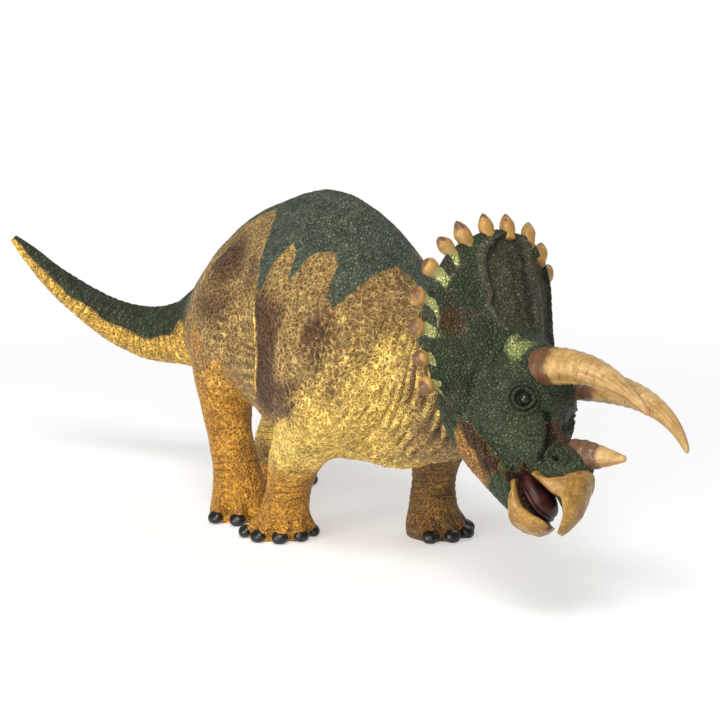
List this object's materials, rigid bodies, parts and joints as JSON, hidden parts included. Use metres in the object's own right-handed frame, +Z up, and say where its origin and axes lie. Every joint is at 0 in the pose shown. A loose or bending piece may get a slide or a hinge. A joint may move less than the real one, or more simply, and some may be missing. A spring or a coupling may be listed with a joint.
{
  "type": "toy dinosaur figure",
  "caption": "Standing three-horned dinosaur figure in painted vinyl, with its head lowered, its mouth open and its tail swung aside, for pretend play.",
  "frame": {"origin": "on the floor under the middle of the figure's box", "axes": "+X the way the trunk faces, +Y the animal's left, +Z up"},
  "size_m": [0.268, 0.0784, 0.1056],
  "materials": {
    "hide": "hand-painted vinyl: grey-green back over ochre, dry-brushed scales, satin",
    "tail_hide": "hand-painted vinyl: dark green above, orange-yellow below, satin",
    "leg_hide": "hand-painted vinyl: ochre with a brown wash and glossy black claws",
    "head_hide": "hand-painted vinyl: dark green, cream spikes and a mottled ochre beak",
    "horn": "painted hard vinyl: ochre with a brown root, striated, semi-gloss",
    "beak": "painted vinyl: mottled ochre beak and green throat, semi-gloss",
    "mouth": "painted vinyl: dark red, glossy"
  },
  "bodies": {
    "root": {"trunk": "hide", "tail": "tail_hide", "hind_leg_left": "leg_hide", "hind_leg_right": "leg_hide", "fore_leg_left": "leg_hide", "fore_leg_right": "leg_hide", "head": "head_hide", "lower_jaw": "beak", "tongue": "mouth", "brow_horn_left": "horn", "brow_horn_right": "horn", "nose_horn": "horn"}
  },
  "joints": []
}
